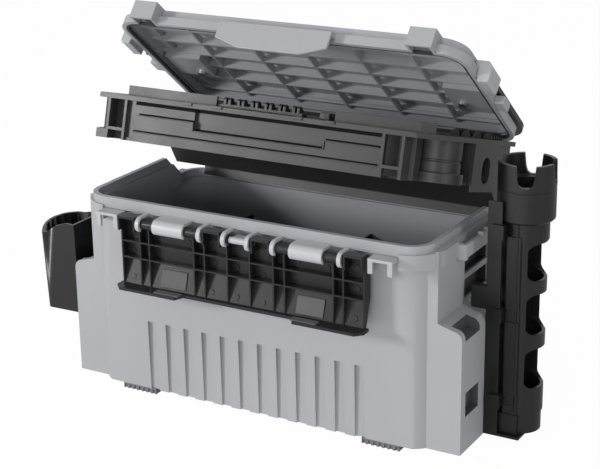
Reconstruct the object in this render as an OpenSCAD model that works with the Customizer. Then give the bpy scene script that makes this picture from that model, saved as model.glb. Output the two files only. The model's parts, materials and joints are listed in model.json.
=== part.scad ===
// Fishing seat box: a tub with a hinged organiser tray, a hinged seat lid with a
// carrying handle, a front latch, a rod stand and a side pocket.
// Heights are from the tub's flat underside. Depths are from the front of the lip,
// and the tray and the lid are drawn closed, then turned open about their hinges.

/* [Tub] */
// Width over the lip
lip_w = 375; // [360:1:385]
// Depth over the lip
lip_d = 199; // [190:1:215]
// Height of the lip above the underside
lip_z = 203; // [190:1:220]
// Height of the lip band
lip_h = 11; // [8:0.5:13]
// Corner radius of the lip
lip_r = 25; // [15:1:30]
// Thickness of the lip
lip_t = 5; // [3:0.5:6]
// Width of the shelf inside the lip
shelf_w = 3; // [2:0.5:5]
// Depth of the shelf below the rim
shelf_drop = 8; // [5:0.5:11]
// Length of the level side lip
side_flat = 140; // [125:1:145]
// Drop of the back rim below the lip
rear_drop = 23.5; // [18:0.5:26]
// Width over the side walls
side_w = 385; // [378:1:395]
// Wall thickness
wall = 4; // [3:0.5:5]
// Floor thickness
floor_t = 4; // [3:0.5:6]
// Set-back of the side bins
front_step = 17.5; // [14:0.5:22]
// Set-back of the front at the underside
panel_in = 9.5; // [7:0.5:12]
// Corner radius of the walls
body_r = 39; // [28:1:42]
// Height of the belt loops' and pads' lower edge below the lip
pad_drop = 23; // [19:0.5:27]

/* [Front grooves] */
// Number of grooves
groove_n = 12; // [8:1:12]
// Spacing of the grooves
groove_pitch = 21.3; // [18:0.1:23]
// Width of a groove
groove_w = 10.4; // [7:0.2:13]
// Height of the grooves
groove_h = 75; // [50:1:100]
// Depth of a groove
groove_depth = 3; // [2:0.1:3.5]

/* [Side bins] */
// Reach of a side bin past the side wall
bin_out = 24.5; // [20:0.5:28]
// Height of a bin at the tub
bin_top = 127.5; // [110:0.5:130]
// Drop of a bin's top towards its outer edge
bin_drop = 4.5; // [2:0.5:12]
// Depth of a bin from front to back
bin_len = 165; // [150:1:175]
// Radius of a bin's top edge
bin_r = 9; // [5:1:14]
// Bin wall
bin_wall = 2.6; // [2:0.1:3.5]

/* [Tray] */
// Height of the tray case
tray_h = 39; // [34:1:44]
// Overhang of the tray's front past the lip
tray_over = 8.5; // [7:0.5:9]
// Reach of the deck past the case on each side
deck_rim = 4; // [3:0.5:5]
// Thickness of the deck
deck_t = 4.6; // [3.5:0.1:5.5]
// Width of the deck
deck_w = 380; // [372:1:380]
// Tray wall
tray_wall = 3; // [2.5:0.1:3.5]
// Angle by which the tray stands open
tray_open = 15.8; // [0:0.1:30]
// Inside radius of the cup holder
cup_r = 21.5; // [18:0.5:22]
// Height of the rails on the deck
rail_h = 9.6; // [6:0.2:10]

/* [Lid] */
// Width of the lid's rim
lid_w = 379; // [370:1:381]
// Depth of the lid's rim
lid_d = 187; // [183:1:190]
// Height of the rim band
rim_h = 9.5; // [8:0.5:10]
// Height of the crown's edge above the rim
crown_edge_h = 18; // [16:0.5:19]
// Height of the crown above the rim
crown_h = 23.5; // [21:0.5:26]
// Corner radius of the rim
rim_r = 26; // [18:1:30]
// Lid wall
lid_wall = 3; // [2.5:0.1:4]
// Angle by which the lid stands open from the tray
lid_open = 23.2; // [0:0.1:60]
// Spacing of the cross ribs
rib_pitch = 60.7; // [50:0.5:62]
// Thickness of a rib
rib_t = 2.4; // [1.6:0.1:3]

/* [Latch] */
// Width of the latch
latch_w = 268; // [250:1:270]
// Distance from the pivot to the latch's catch
latch_len = 63.4; // [63:0.2:65]
// Radius of the latch's pivot bar
bar_r = 4.8; // [4:0.1:5.2]

/* [Rod stand] */
// Height of the stand
stand_h = 268; // [250:1:285]
// Radius of the tube
tube_r = 21; // [18:0.5:21.5]
// Tube wall
tube_wall = 3; // [2:0.1:4]
// Radius of the crown
top_r = 27; // [24:0.5:29]

/* [Side pocket] */
// Height of the pocket
pocket_h = 86; // [70:1:95]
// Length of the pocket from front to back
pocket_len = 83; // [60:1:88]
// Width of the pocket outside the bin
pocket_w = 59; // [40:1:62]
// Pocket wall
pocket_wall = 2.6; // [2:0.1:3.5]

/* [Feet] */
// Height of the feet
foot_h = 6; // [4:0.5:8]
// Length of a foot
foot_w = 40; // [30:1:45]

/* [Hidden] */
$fn = 64;
// A fit between faces that close on each other, and a running fit on a pin
gap = 0.4;
run_fit = 0.05;
// Overrun of every cut
over = 1;

half = [-1, 1];
rim_z = lip_z - rear_drop;
back_y = lip_d - wall;
side_x = side_w / 2;
bin_x = side_x + bin_out;
open_w = lip_w - 2 * (lip_t + shelf_w);
panel_top_in = 5;
inner_r = 17;
lip_low = lip_z - lip_h;
pad_z = lip_z - pad_drop;
pad_out = 3;
pad_side = 2;
pad_h = 15;

// Belt loops on the front
latch_half = latch_w / 2;
loop_off = 15.5;
loop_x = latch_half + loop_off;
pad_off = 13;
pad_x = loop_x + pad_off;
loop_w = 25;
loop_leg = 5;
loop_t = 3;
loop_out = 14;

// Latch pivot
pivot_y = -12;
pivot_drop = 17.4;
pivot_z = lip_z - pivot_drop;
hook_t = 2.6;
hook_end = 2.9;
bar_clear = 0.35;
hook_w = 4;
hook_in = bar_r + bar_clear;
hook_out = hook_in + hook_t;
hook_shares = [0.097, 0.3022, 0.8246];
hook_places = [for (s = hook_shares) s * latch_half];
shield_share = 0.565;
shield_x = shield_share * latch_half;
shield_w_share = 0.2575;
shield_w = shield_w_share * latch_half;
saddle_w = 17;
saddle_r = 3.2;
latch_pin_r = 2;
latch_pin_len = 36;

// Windows and hollows of the side walls and bins
window_y = 76;
window_len = 54;
window_z = 132;
window_h = 43.5;
window_bar = 5.5;
window_frame = 8;
bin_mouth_y = 25;
bin_mouth_len = 33;
bin_mouth_drop = 15.8;
bin_mouth_w = 14;
bin_root = 26;
bin_slot_y = 27.5;
bin_slot_len = 30;
bin_slot_z = 35.6;
bin_slot_h = 24.4;
bin_slot_deep = 9;
bin_steps = 5;

// Side rails
srail_y = 57;
srail_len = 91;
srail_out = 9.5;
srail_t = 3.2;
srail_h = 13;
srail_post = 5;
srail_drop = 12.5;
peg_r = 2.2;
peg_places = [92, 106];

// Dividers
divider_t = 2.4;
divider_h = 133;
divider_places = [-108, 36];
divider_slot = 3;

// Tray hinge
hinge_back = 11.4;
hinge_rise = 8.3;
hinge_y = lip_d + hinge_back;
hinge_z = rim_z + hinge_rise;
knuckle_r = 6;
pin_r = 2.5;
tub_lugs = [-160, -52, 52, 160];
tray_lugs = [-138, -30, 30, 138];
lug_w = 20;
hinge_pin_len = 342;

// Tray
tray_z = lip_z + gap;
tray_top = tray_z + tray_h;
deck_z = tray_top;
deck_top = deck_z + deck_t;
tray_set = 19;
tray_back = lip_d - tray_set;
deck_lap = 2;
deck_back = tray_back + deck_lap;
tray_front = -tray_over;
deck_x = deck_w / 2;
tray_x = deck_x - deck_rim;
tray_w = 2 * tray_x;
corner_in = 19;
corner_x = deck_x - corner_in;
corner_y = 20;
post_w = 22.5;
post_set = 25.5;
post_out = tray_x - post_set;
post_in = post_out - post_w;
post_t = 3;
channel_depth = 16;
channel_bar_z = 8.6;
channel_bar_h = 3;
panel_set = 2.5;
panel_gap = 9;
panel_l = panel_gap - post_in;
recess_depth = 1.6;
recess_mid = 5;
recess_z = 26;
recess_low_z = 18;
recess_step_l = -62;
recess_step_share = 0.4328;
recess_step_r = recess_step_share * tray_x;
seam_z = 9.8;
seam_h = 1.4;
seam_depth = 1.5;
cup_in = 23;
cup_x = tray_x - cup_in;
cup_y = 56;
cup_wall = 2.5;
cup_ring = 3.2;
cup_ring_h = 9.5;
cup_groove = 1;
cup_low = 2.6;
notch_in = 24.5;
notch_x = tray_x - notch_in;
notch_y = 80;
end_y = 83;
end_len = 65;
end_low = 6;
end_t = 4;
end_hole_y = 114.5;
end_hole_z = 14.3;
end_hole_w = 19;
end_hole_h = 25;
skirt_in = 1;
skirt_back = lip_d - skirt_in;
skirt_w = tray_w;
apron_share = 0.88;
apron_x = apron_share * tray_x;
apron_y = 186.5;
apron_drop = 10;
bay_share = 0.3145;
tray_walls = [-bay_share * tray_x, bay_share * tray_x];

// Deck fittings
rail_t = 3;
rail_y = 12.2;
rail_l_shares = [-0.8, -0.2632];
rail_r_shares = [0.4105, 0.868];
rail_turn_x = 10;
rail_turn_y = 11;
comb_l = -46;
comb_n = 6;
comb_y = 12.2;
comb_d = 8.8;
comb_pitch = 15;
comb_tooth = 3.2;
comb_nip = 1.8;
comb_base = 3.4;
roll_r = 5.3;
roll_pitch = 11.3;
roll_in = 49;
roll_x = tray_x - roll_in;
roll_y = 155;
roll_n = 4;
roll_groove = 0.8;
roll_step = 2.4;
roll_len = 25;
roll_lift = 1.4;
roll_z = deck_top + roll_lift;
clip_x = 62;
clip_w = 10;
clip_d = 12;
clip_h = 7;
deck_open_front = 30;
deck_open_len = 138;

// Lid
lid_front = 4;
lid_z = deck_top + gap;
lid_hinge_back = 8;
lid_hinge_y = tray_back + lid_hinge_back;
lid_hinge_drop = 14;
lid_hinge_z = deck_top - lid_hinge_drop;
lid_knuckle_r = 5;
lid_pin_r = 2;
lid_lugs = [-150, -50, 50, 150];
tray_lid_lugs = [-168, -32, 32, 168];
lid_lug_w = 16;
lid_pin_len = 352;
lid_x = lid_w / 2;
lid_back = lid_front + lid_d;
rim_wall = 4.4;
crown_in = 4.5;
crown_bevel = 15;
ceiling = 20.5;
rib_low = 12;
rib_rows = [39, 65, 91, 115.5, 142, 174];
rib_cols = 5;
seal_in = 6.4;
seal_w = 2.4;
seal_h = 3.2;
seal_out = 0.8;
block_x = 150.2;
block_w = 26;
block_out = 11;
block_len = 34;
block_h = 18.8;
block_wall = 2.5;
tab_w = 121;
tab_flat_w = 68;
tab_out = 9.5;
tab_t = 3.4;
tab_drop = 19.7;
tab_side_drop = 11;
tab_top = 6.6;
boss_x = 137;
boss_y = 92;
boss_w = 42;
boss_d = 38;
boss_low = 7;
screw_x = 149;
screw_y = 123;
screw_r = 2;
screw_head_r = 4.5;
screw_head = 3;
screw_len = 8;
seal_low = 0.4;

// Handle hubs, clips and handle
hub_y = 44;
hub_len = 27;
hub_out = 13.5;
hub_low = 4.5;
hub_h = 17;
hub_seat = 2;
hub_r = 5;
handle_y = 81.5;
handle_z = 7;
boss_r = 5.6;
boss_gap = 0.4;
boss_out = 4.4;
handle_pin_r = 2;
handle_pin_len = 9.5;
handle_pin_in = 4;
arm_in = 3.5;
arm_h = 5;
arm_low = 10;
arm_start = 5;
arm_knee = 9;
arm_turn = 30;
grip_back = 5.5;
grip_z = 12.7;
bar_rod_r = 3;
grip_w = 120;
grip_r = 4.6;
clip_y = 99;
clip_len = 17;
clip_out = 9;
clip_rise = 8.5;
clip_ridge = 1.2;
clip_ridges = 5;

// Latch
latch_t = 2.4;
latch_deep = 8.2;
latch_edge = 0.8;
latch_top = 5;
latch_rib_t = 1.6;
latch_rows = [19.6, 36.3];
latch_shares = [0.0933, 0.2836, 0.3731, 0.7575, 0.8358];
wrap_shares = [[0.127, 0.276], [0.8545, 1]];
wrap_front = 5.6;
wrap_back = 6.6;
wrap_top = 6.9;
wrap_low = 8;
wrap_cut = 2;
catch_t = 3;
catch_out = 14.7;
catch_mid_out = 5.2;
catch_mid_share = 0.455;
catch_cut = 4;
catch_side = 2.6;
catch_corner = 7;
slot_side = 0.7;
slot_r = hook_out + slot_side;
catch_pad_w = 29;
catch_pad_x = shield_x;
catch_pad_low = 2.5;
catch_pad_h = 16.5;
catch_pad_t = 1.2;
lip_pad_w = 28;
lip_pad_d = 8;
lip_pad_t = 1.2;

// Rod stand
stand_off = 26;
stand_x = bin_x + stand_off;
stand_y = 98;
tube_low = 4.4;
tube_floor = 3;
base_r = 19.8;
base_top = 24;
crown_len = 55;
crown_low = stand_h - crown_len;
tube_lap = 27;
tube_top = crown_low + tube_lap;
crown_wall = 4;
crown_floor = 21;
crown_seam = 26;
crown_seam_h = 1.2;
crown_seam_in = 0.7;
crown_foot = 2;
prong_h = 20;
prong_half = 8.8;
prong_shares = [[1, 0], [0.84, 0.66], [0.68, 0.88], [0.36, 1]];
prong_angles = [-72, 13, 98, 190];
port_w = 37.6;
port_r = 7;
port_shares = [[0.1866, 0.3358], [0.388, 0.5373], [0.5858, 0.7201]];
collar_h = 18.6;
collar_out = 1;
port_angle = 2;
plate_in = 9.2;
plate_out = 5;
plate_y = 76;
block_in = 15;
block_out_r = 6;
strip_y = 70;
strip_t = 2.5;
strip_w = 14;
strip_short = 36;
strip_low = 1.5;
strip_h = stand_h - strip_short;
foot_plate_t = 2.5;
foot_plate_w = 36;
foot_plate_d = 45;
arm_reach = 15;
arm_deep = 8;
arm_rise = 22;
snap_shares = [0.116, 0.437, 0.741];
snap_h = 13.5;
snap_t = 2;
snap_len = 17;
snap_x = 5;

// Side pocket
pocket_y = 18;
pocket_top = 148;
pocket_rise = 11;
pocket_taper_share = 0.94;
pocket_shares = [[0, 0.01], [0.68, 0], [0.72, 0.012], [0.755, 0.05], [0.845, 0.148], [0.932, 0.28],
                 [0.985, 0.4], [1, 0.52], [0.97, 0.672], [0.91, 0.76], [0.8, 0.85], [0.65, 0.928],
                 [0.4, 0.985], [0.2, 1], [0, 1]];
rim_shares = [[0, 0.95], [0.17, 1], [0.4, 0.6], [0.6, -0.18], [0.7, -0.22], [0.8, -0.1], [1.1, 0]];
pocket_hook_y = 69;
pocket_hook_len = 16;
pocket_hook_t = 2.4;
hook_lap = 26;
hook_bend = 26;

// Feet
under_step = 0.6;
under_gap = 3;
foot_x = 138;
foot_d = 18;
foot_front = 10.5;
foot_serration = 1.6;
foot_teeth = 7;

// Frames that the pieces are drawn in
module tub_frame() { translate([0, -lip_d / 2, 0]) children(); }

module tray_frame() {
  tub_frame() translate([0, hinge_y, hinge_z]) rotate([-tray_open, 0, 0])
    translate([0, -hinge_y, -hinge_z]) children();
}

module lid_frame() {
  tray_frame() translate([0, lid_hinge_y, lid_hinge_z]) rotate([-lid_open, 0, 0])
    translate([0, -lid_hinge_y, -lid_hinge_z]) children();
}

// Helpers: outlines extruded along an axis, boxes by corners, rounded plates
module along_x(x0, x1) { translate([x0, 0, 0]) rotate([90, 0, 90]) linear_extrude(x1 - x0) children(); }
module along_y(y0, y1) { translate([0, y1, 0]) rotate([90, 0, 0]) linear_extrude(y1 - y0) children(); }
module box(lo, hi) { translate(lo) cube(hi - lo); }
module rod_x(x0, x1, y, z, r) { translate([x0, y, z]) rotate([0, 90, 0]) cylinder(h = x1 - x0, r = r); }

module round_rect(w, d, r) {
  translate([r - w / 2, 0]) square([w - 2 * r, d]);
  translate([-w / 2, r]) square([w, d - 2 * r]);
  for (sx = half, y = [r, d - r]) translate([sx * (w / 2 - r), y]) circle(r);
}

module plate(w, y0, d, r, z0, z1) {
  translate([0, y0, z0]) linear_extrude(z1 - z0) round_rect(w, d, r);
}

module mirrored() { for (s = half) scale_x(s) children(); }
module scale_x(s) { mirror([s < 0 ? 1 : 0, 0, 0]) children(); }

// Tub
module rear_notch() {
  along_x(-bin_x, bin_x) polygon([
    [side_flat, lip_z + over], [side_flat, lip_z], [side_flat + rear_drop, rim_z],
    [lip_d + over, rim_z], [lip_d + over, lip_z + over]]);
}

module wall_body() {
  intersection() {
    plate(side_w, panel_top_in, back_y - panel_top_in, body_r, 0, lip_low + wall);
    along_x(-side_x, side_x)
      polygon([[panel_in, 0], [back_y, 0], [back_y, lip_low], [panel_top_in, lip_low]]);
  }
}

module bin_outline(x0, inset) {
  x1 = bin_x - inset;
  zt = bin_top - inset;
  zo = bin_top - bin_drop - inset;
  r = bin_r - inset;
  polygon(concat([[x0, inset], [x1, inset]],
    [for (i = [0 : bin_steps])
       [x1 - r * (1 - cos(90 * i / bin_steps)), zo - r * (1 - sin(90 * i / bin_steps))]],
    [[x0, zt]]));
}

module bin_block() {
  along_y(front_step, front_step + bin_len) {
    bin_outline(side_x, 0);
    translate([side_x - bin_root, 0]) square([bin_root + bin_wall, bin_top - bin_wall]);
  }
}

// The bins are part of the tub's inside, behind the recesses' own walls
module bin_hollow() {
  difference() {
    along_y(front_step + bin_wall, front_step + bin_len - bin_wall)
      bin_outline(side_x - 2 * wall, bin_wall);
    box([bin_x - bin_mouth_w - bin_wall, bin_mouth_y - bin_wall, bin_top - bin_mouth_drop - bin_wall],
        [bin_x, bin_mouth_y + bin_mouth_len + bin_wall, bin_top]);
    box([bin_x - bin_slot_deep - bin_wall, bin_slot_y - bin_wall, bin_slot_z - bin_wall],
        [bin_x, bin_slot_y + bin_slot_len + bin_wall, bin_slot_z + bin_slot_h + bin_wall]);
  }
}

module bin_recesses() {
  box([bin_x - bin_mouth_w, bin_mouth_y, bin_top - bin_mouth_drop],
      [bin_x + over, bin_mouth_y + bin_mouth_len, bin_top + over]);
  box([bin_x - bin_slot_deep, bin_slot_y, bin_slot_z],
      [bin_x + over, bin_slot_y + bin_slot_len, bin_slot_z + bin_slot_h]);
}

module hook_outline() {
  translate([pivot_y, pivot_z]) {
    difference() {
      circle(hook_out);
      circle(hook_in);
      translate([0, -hook_out]) square([hook_out, 2 * hook_out]);
      translate([-hook_end, -hook_out]) square([hook_end, hook_out]);
    }
    translate([0, hook_in]) square([panel_in - pivot_y, hook_t]);
  }
}

module tub_hooks() {
  for (s = half, x = hook_places) along_x(s * x - hook_w / 2, s * x + hook_w / 2) hook_outline();
  for (s = half) along_x(s * shield_x - shield_w / 2, s * shield_x + shield_w / 2) hook_outline();
  // Saddle that holds the latch's pin in the middle
  rod_x(-saddle_w / 2, saddle_w / 2, pivot_y, pivot_z, saddle_r);
  box([-saddle_w / 2, pivot_y, pivot_z - hook_t / 2], [saddle_w / 2, panel_in, pivot_z + hook_t / 2]);
}

module tub_lug(x) {
  along_x(x - lug_w / 2, x + lug_w / 2) {
    translate([hinge_y, hinge_z]) circle(knuckle_r);
    polygon([[back_y, rim_z - 3 * knuckle_r], [back_y, rim_z - over], [lip_d, rim_z - over],
             [hinge_y - knuckle_r / 2, hinge_z + knuckle_r * sin(60)],
             [hinge_y + knuckle_r * cos(30), hinge_z - knuckle_r / 2]]);
  }
}

module tub_cavity() {
  front_y = panel_in + wall;
  plate(side_w - 2 * wall, front_y, back_y - wall - front_y, body_r - wall,
        floor_t, rim_z - shelf_drop - wall);
  plate(open_w, lip_t + shelf_w, lip_d - 2 * (lip_t + shelf_w), inner_r,
        rim_z - shelf_drop - 2 * wall, lip_z + over);
  plate(lip_w - 2 * lip_t, lip_t, lip_d - 2 * lip_t, lip_r - lip_t, lip_z - shelf_drop, lip_z + over);
  intersection() {
    plate(lip_w - 2 * lip_t, lip_t, lip_d - 2 * lip_t, lip_r - lip_t, rim_z - shelf_drop, lip_z);
    box([-bin_x, side_flat + rear_drop, floor_t], [bin_x, lip_d, lip_z]);
  }
}

module divider_guides() {
  for (x = divider_places, y = [panel_in + wall - over, back_y - wall - divider_slot + over])
    difference() {
      box([x - divider_t / 2 - divider_slot, y, floor_t - over],
          [x + divider_t / 2 + divider_slot, y + divider_slot, divider_h]);
      box([x - divider_t / 2 - gap, y - over, floor_t],
          [x + divider_t / 2 + gap, y + divider_slot + over, divider_h + over]);
    }
}

// Inner walls behind the side windows
module window_casing() {
  mirrored() box([open_w / 2, window_y - window_frame, window_z - window_frame],
                 [side_x - wall / 2, window_y + window_len + window_frame, rim_z - shelf_drop - wall / 2]);
}

module tub() {
  color("darkgray") tub_frame() difference() {
    union() {
      difference() {
        union() {
          plate(lip_w, 0, lip_d, lip_r, lip_low, lip_z);
          intersection() {
            plate(lip_w, 0, lip_d, lip_r, rim_z - lip_h, lip_z);
            box([-bin_x, side_flat + rear_drop, 0], [bin_x, lip_d, lip_z]);
          }
          wall_body();
          mirrored() bin_block();
          mirrored() box([side_x - bin_root, front_step, bin_top - 2 * wall],
                         [side_x, front_step + bin_len, lip_low + wall]);
          // Pads round the two front corners
          intersection() {
            plate(side_w + 2 * pad_side, -pad_out, lip_d, body_r - pad_side, pad_z, pad_z + pad_h);
            mirrored() box([pad_x, -pad_out, pad_z], [bin_x, srail_y, lip_z]);
          }
        }
        tub_cavity();
        rear_notch();
      }
      divider_guides();
      window_casing();
      tub_hooks();
      for (x = tub_lugs) tub_lug(x);
    }
    mirrored() bin_hollow();
    mirrored() bin_recesses();
    mirrored() box([foot_x - foot_w / 2 - under_gap, -over, -over],
                   [bin_x + over, lip_d + over, under_step]);
    // Windows in the side walls, two each with a bar between
    mirrored() for (z = [window_z, window_z + (window_h + window_bar) / 2])
      box([open_w / 2 + wall, window_y, z],
          [side_x + over, window_y + window_len, z + (window_h - window_bar) / 2]);
    for (i = [0 : groove_n - 1])
      translate([(i - (groove_n - 1) / 2) * groove_pitch, 0, 0])
        box([-groove_w / 2, 0, -over], [groove_w / 2, panel_in + groove_depth - over, groove_h]);
    rod_x(-latch_pin_len / 2, latch_pin_len / 2, pivot_y, pivot_z, latch_pin_r + run_fit);
    for (x = tub_lugs) rod_x(x - lug_w, x + lug_w, hinge_y, hinge_z, pin_r + run_fit);
  }
}

module rubber_feet() {
  tooth = foot_w / (2 * foot_teeth);
  color("dimgray") tub_frame()
    for (s = half, y = [foot_front, back_y - foot_front - foot_d + panel_in])
      difference() {
        box([s * foot_x - foot_w / 2, y, -foot_h],
            [s * foot_x + foot_w / 2, y + foot_d, under_step]);
        for (i = [0 : foot_teeth - 1])
          box([s * foot_x - foot_w / 2 + (2 * i + 0.5) * tooth, y - over, -foot_h - over],
              [s * foot_x - foot_w / 2 + (2 * i + 1.5) * tooth, y + foot_serration, -foot_serration]);
      }
}

module front_belt_loops() {
  top = lip_low - gap;
  color("silver") tub_frame() for (s = half) translate([s * loop_x, 0, 0]) {
    box([-loop_w / 2, -loop_out, top - loop_t], [loop_w / 2, panel_top_in, top]);
    for (x = [-loop_w / 2, loop_w / 2 - loop_leg])
      box([x, -loop_out, pad_z - loop_t], [x + loop_leg, loop_t - loop_out, top]);
  }
}

module side_rail() {
  top = lip_low;
  difference() {
    union() {
      box([side_x, srail_y, top - srail_h], [side_x + srail_out, srail_y + srail_len, top]);
      box([side_x, srail_y, pad_z - loop_t], [side_x + srail_out, srail_y + srail_post, top]);
    }
    box([side_x - over, srail_y + srail_post, top - srail_h - over],
        [side_x + srail_out - srail_t, srail_y + srail_len - srail_post, top + over]);
  }
  for (y = peg_places)
    rod_x(side_x + srail_out - srail_t, side_x + srail_out + peg_r, y, top + peg_r / 2, peg_r);
}

module left_side_rail() { color("silver") tub_frame() scale_x(-1) side_rail(); }
module right_side_rail() { color("silver") tub_frame() side_rail(); }

module latch_pin() {
  color("gray") tub_frame()
    rod_x(-latch_pin_len / 2, latch_pin_len / 2, pivot_y, pivot_z, latch_pin_r);
}

module divider(x) {
  y0 = panel_in + wall + gap;
  y1 = back_y - wall - gap;
  color("black") tub_frame()
    box([x - divider_t / 2, y0, floor_t + gap], [x + divider_t / 2, y1, floor_t + divider_h]);
}

module left_divider() { divider(divider_places[0]); }
module right_divider() { divider(divider_places[1]); }

module tray_hinge_pin() {
  color("gray") tub_frame() rod_x(-hinge_pin_len / 2, hinge_pin_len / 2, hinge_y, hinge_z, pin_r);
}

// Tray
module case_outline(inset) {
  x = tray_x - inset;
  f = tray_front + panel_set + inset;
  side_y = corner_y + corner_x - post_out + f;
  polygon([[-post_in, f], [post_in, f], [post_out - inset, f + corner_y], [x, side_y],
           [x, tray_back - inset], [-x, tray_back - inset], [-x, side_y],
           [-post_out + inset, f + corner_y]]);
}

module flange_outline() {
  polygon([[-corner_x, tray_front], [corner_x, tray_front], [deck_x, corner_y], [deck_x, deck_back],
           [-deck_x, deck_back], [-deck_x, corner_y]]);
}

module channel(s) {
  for (x = [post_in, post_out - post_t])
    scale_x(s) box([x, tray_front, tray_z], [x + post_t, tray_front + channel_depth, tray_top]);
  scale_x(s) box([post_in, tray_front + channel_depth - post_t, tray_z],
                 [post_out, tray_front + channel_depth, tray_top]);
  scale_x(s) box([post_in, tray_front, tray_z + channel_bar_z],
                 [post_out, tray_front + channel_bar_h, tray_z + channel_bar_z + channel_bar_h]);
}

module skirt_outline() {
  y0 = side_flat + 2 * gap;
  z0 = rim_z + 2 * gap;
  polygon([[y0, tray_z + tray_wall], [y0, tray_z], [y0 + tray_z - z0, z0], [skirt_back, z0],
           [skirt_back, tray_z + tray_wall]]);
}

module skirt_hollow() {
  y0 = side_flat + 2 * gap + tray_wall * sqrt(2);
  y1 = tray_back - tray_wall;
  z0 = rim_z + 2 * gap + tray_wall;
  top = tray_z + tray_wall + over;
  along_x(-skirt_w / 2 + tray_wall, skirt_w / 2 - tray_wall)
    polygon([[y0, tray_z], [y0 + tray_z - z0, z0], [skirt_back - tray_wall, z0],
             [skirt_back - tray_wall, tray_z], [y1, tray_z]]);
  along_x(-tray_x + tray_wall, tray_x - tray_wall)
    polygon([[y0, tray_z], [y1, tray_z], [y1, top], [y0, top]]);
}

module tray_partitions() {
  for (x = tray_walls) box([x - tray_wall / 2, tray_front, rim_z], [x + tray_wall / 2, lip_d, tray_top]);
}

module tray_lug(x) {
  along_x(x - lug_w / 2, x + lug_w / 2) {
    translate([hinge_y, hinge_z]) circle(knuckle_r);
    polygon([[skirt_back - tray_wall, hinge_z - knuckle_r + gap], [hinge_y, hinge_z - knuckle_r],
             [hinge_y, hinge_z + knuckle_r], [skirt_back - tray_wall, hinge_z + knuckle_r]]);
  }
}

module tray_case() {
  floor_z = tray_z + tray_wall;
  color("dimgray") tray_frame() difference() {
    union() {
      difference() {
        union() {
          translate([0, 0, tray_z]) linear_extrude(tray_h) case_outline(0);
          along_x(-skirt_w / 2, skirt_w / 2) skirt_outline();
        }
        // Hollows, with walls between the three compartments
        difference() {
          translate([0, 0, floor_z]) linear_extrude(tray_h) intersection() {
            case_outline(tray_wall);
            translate([-tray_x, tray_front + channel_depth]) square([tray_w, lip_d]);
          }
          tray_partitions();
          translate([cup_x, cup_y, tray_z])
            cylinder(h = tray_h, r = cup_r + cup_wall + cup_ring + 2 * tray_wall);
          box([notch_x - tray_wall, tray_front, tray_z], [tray_x, notch_y + tray_wall, tray_top]);
        }
        difference() {
          skirt_hollow();
          tray_partitions();
        }
        // Corner left open for the cup holder
        box([notch_x, tray_front - over, tray_z - over], [tray_x + over, notch_y, tray_top + over]);
        translate([cup_x, cup_y, tray_z - over])
          cylinder(h = tray_h + 2 * over, r = cup_r + cup_wall + cup_ring + tray_wall / 2);
        // Recessed upper front, lower in the middle, and the seam below it
        box([-post_in, tray_front - over, tray_z + recess_z],
            [post_in, tray_front + panel_set + recess_depth, tray_top + over]);
        box([recess_step_l, tray_front - over, tray_z + recess_low_z],
            [recess_step_r, tray_front + panel_set + recess_mid, tray_top + over]);
        box([-post_in, tray_front, tray_z + seam_z],
            [post_in, tray_front + panel_set + seam_depth, tray_z + seam_z + seam_h]);
        box([-post_in, tray_front, tray_z + tray_wall],
            [panel_l, tray_front + panel_set + recess_depth, tray_top + over]);
      }
      for (s = half) channel(s);
      // Bottom flange at the left front corner
      left_corner_flange();
      // Apron hanging inside the rear rim
      box([-apron_x, apron_y, rim_z - apron_drop],
          [apron_x, apron_y + tray_wall, rim_z + 2 * gap + tray_wall]);
      for (x = tray_lugs) tray_lug(x);
      for (x = tray_lid_lugs) along_x(x - lid_lug_w / 2, x + lid_lug_w / 2) {
        translate([lid_hinge_y, lid_hinge_z]) circle(lid_knuckle_r);
        translate([tray_back - tray_wall, lid_hinge_z - lid_knuckle_r])
          square([lid_hinge_y - tray_back + tray_wall, 2 * lid_knuckle_r]);
      }
    }
    for (s = half) scale_x(s)
      box([post_in + post_t, tray_front - over, tray_z - over],
          [post_out - post_t, tray_front + channel_depth - post_t, tray_z + tray_wall - over]);
    for (x = tray_lugs) rod_x(x - lug_w, x + lug_w, hinge_y, hinge_z, pin_r + run_fit);
    intersection() {
      end_hole();
      box([tray_x - 2 * tray_wall, 0, tray_z], [deck_x, tray_back, tray_top]);
    }
    for (x = tray_lid_lugs)
      rod_x(x - lid_lug_w, x + lid_lug_w, lid_hinge_y, lid_hinge_z, lid_pin_r + run_fit);
  }
}

module left_corner_flange() {
  translate([0, 0, tray_z]) linear_extrude(channel_bar_z) difference() {
    polygon([[-corner_x, tray_front], [-post_out, tray_front], [-post_out, tray_front + channel_depth],
             [-tray_x, corner_y + corner_x - post_out], [-tray_x, corner_y]]);
    translate([-post_out, tray_front + channel_depth]) circle(channel_bar_h);
  }
}

module rail_outline() {
  x0 = rail_l_shares[0] * deck_x;
  x1 = rail_r_shares[0] * deck_x;
  x2 = rail_r_shares[1] * deck_x;
  translate([x0, 0]) square([rail_l_shares[1] * deck_x - x0, rail_t]);
  polygon([[x1, 0], [x2, 0], [x2 + rail_turn_x, rail_turn_y], [x2 + rail_turn_x - rail_t, rail_turn_y],
           [x2 - rail_t / 2, rail_t], [x1, rail_t]]);
}

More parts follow.
